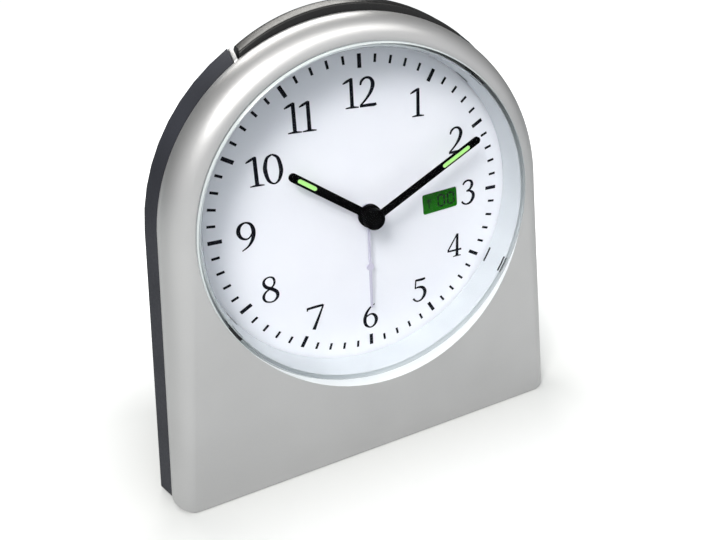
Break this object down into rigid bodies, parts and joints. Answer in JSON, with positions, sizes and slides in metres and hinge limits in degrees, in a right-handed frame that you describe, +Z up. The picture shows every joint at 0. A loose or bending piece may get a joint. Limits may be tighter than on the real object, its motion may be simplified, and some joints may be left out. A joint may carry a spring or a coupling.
{
  "type": "alarm clock",
  "caption": "Arched bedside clock: silver front with a clear lens over an analogue dial and small display, snooze bar on the arch, charcoal rear case with set knob, buttons and battery door.",
  "frame": {"origin": "centre of the bounding box's bottom face, on the table", "axes": "+X to the right seen from the front, +Y from the dial to the back, +Z up"},
  "size_m": [0.1076, 0.0442, 0.1083],
  "materials": {
    "silver_shell": "satin silver paint",
    "charcoal_shell": "fine moulded grain",
    "clear_lens": "clear, polished",
    "dial_white": "printed matt",
    "display_green": "tinted display glass",
    "light_guide": "frosted clear",
    "black_hand": "black lacquer",
    "lume_green": "glow paint",
    "lilac_hand": "satin lacquer",
    "brass": "turned",
    "white_acetal": "moulded",
    "magnet": "ground",
    "stator_steel": "stamped",
    "copper_wire": "enamelled winding",
    "movement_black": "moulded",
    "control_black": "moulded",
    "snooze_black": "semi-gloss",
    "switch_black": "moulded",
    "board_green": "solder resist",
    "nickel": "nickel plated",
    "ferrite": "sintered",
    "cell_sleeve": "shrink sleeve",
    "screw_steel": "zinc plated"
  },
  "bodies": {
    "case": {"front_housing": "silver_shell", "rear_case": "charcoal_shell", "lens": "clear_lens", "dial": "dial_white", "display_panel": "display_green", "display_light_guide": "light_guide", "alarm_buzzer": "brass", "motor_stator": "stator_steel", "motor_coil": "copper_wire", "antenna_coil": "copper_wire", "movement_base": "movement_black", "movement_cover": "movement_black", "receive_switch": "switch_black", "set_switch": "switch_black", "reset_switch": "switch_black", "snooze_switch": "switch_black", "control_chip": "switch_black", "circuit_board": "board_green", "timing_crystal": "nickel", "contact_link": "nickel", "contact_negative": "nickel", "contact_positive": "nickel", "alarm_switch": "nickel", "antenna_rod": "ferrite", "battery_lower": "cell_sleeve", "battery_upper": "cell_sleeve", "case_screw_lower_left": "screw_steel", "case_screw_lower_right": "screw_steel", "case_screw_upper_left": "screw_steel", "case_screw_upper_right": "screw_steel"},
    "minute_train": {"minute_wheel": "brass", "minute_hand": "black_hand", "minute_hand_lume": "lume_green"},
    "motion_train": {"motion_wheel": "white_acetal"},
    "hour_train": {"hour_wheel": "white_acetal", "hour_hand": "black_hand", "hour_hand_lume": "lume_green"},
    "drive_train": {"train_wheel": "white_acetal"},
    "motor": {"motor_rotor": "magnet"},
    "alarm_train": {"alarm_wheel": "white_acetal", "alarm_hand": "lilac_hand"},
    "set_knob": {"alarm_set_knob": "control_black", "alarm_set_shaft": "white_acetal"},
    "snooze": {"snooze_bar": "snooze_black"},
    "receive": {"receive_button": "control_black"},
    "set": {"set_button": "control_black"},
    "reset": {"reset_button": "control_black"},
    "alarm_selector": {"alarm_slide": "control_black"},
    "door": {"battery_door": "charcoal_shell"}
  },
  "joints": [
    {"name": "minute_turn", "type": "hinge", "parent": "case", "child": "minute_train", "pos_m": [0, 0, 0.0616], "axis": [0, 1, 0], "continuous": true},
    {"name": "motion_turn", "type": "hinge", "parent": "case", "child": "motion_train", "pos_m": [0, 0, 0.0536], "axis": [0, 1, 0], "continuous": true},
    {"name": "hour_turn", "type": "hinge", "parent": "case", "child": "hour_train", "pos_m": [0, 0, 0.0616], "axis": [0, 1, 0], "continuous": true},
    {"name": "drive_turn", "type": "hinge", "parent": "case", "child": "drive_train", "pos_m": [-0.00902, 0, 0.05832], "axis": [0, 1, 0], "continuous": true},
    {"name": "motor_turn", "type": "hinge", "parent": "case", "child": "motor", "pos_m": [-0.01176, 0, 0.0508], "axis": [0, 1, 0], "continuous": true},
    {"name": "knob_turn", "type": "hinge", "parent": "case", "child": "set_knob", "pos_m": [0, 0, 0.0716], "axis": [0, 1, 0], "continuous": true},
    {"name": "alarm_turn", "type": "hinge", "parent": "case", "child": "alarm_train", "pos_m": [0, 0, 0.0616], "axis": [0, 1, 0], "continuous": true},
    {"name": "snooze_press", "type": "slide", "parent": "case", "child": "snooze", "axis": [0, 0, -1], "range_m": [0, 0.0012], "stiffness_N_per_m": 500, "springref_m": -0.001},
    {"name": "receive_press", "type": "slide", "parent": "case", "child": "receive", "axis": [0, -1, 0], "range_m": [0, 0.0008], "stiffness_N_per_m": 400, "springref_m": -0.001},
    {"name": "set_press", "type": "slide", "parent": "case", "child": "set", "axis": [0, -1, 0], "range_m": [0, 0.0008], "stiffness_N_per_m": 400, "springref_m": -0.001},
    {"name": "reset_press", "type": "slide", "parent": "case", "child": "reset", "axis": [0, -1, 0], "range_m": [0, 0.0008], "stiffness_N_per_m": 400, "springref_m": -0.001},
    {"name": "alarm_select", "type": "slide", "parent": "case", "child": "alarm_selector", "axis": [1, 0, 0], "range_m": [0, 0.004]},
    {"name": "door_hinge", "type": "hinge", "parent": "case", "child": "door", "pos_m": [0, 0.01615, 0.0054], "axis": [-1, 0, 0], "range_deg": [0, 85]}
  ],
  "couplings": [
    {"joint": "motion_turn", "follows": "minute_turn", "ratio": -0.33333},
    {"joint": "hour_turn", "follows": "minute_turn", "ratio": 0.083333},
    {"joint": "drive_turn", "follows": "minute_turn", "ratio": -5},
    {"joint": "motor_turn", "follows": "minute_turn", "ratio": 20},
    {"joint": "alarm_turn", "follows": "knob_turn", "ratio": -0.5625}
  ]
}
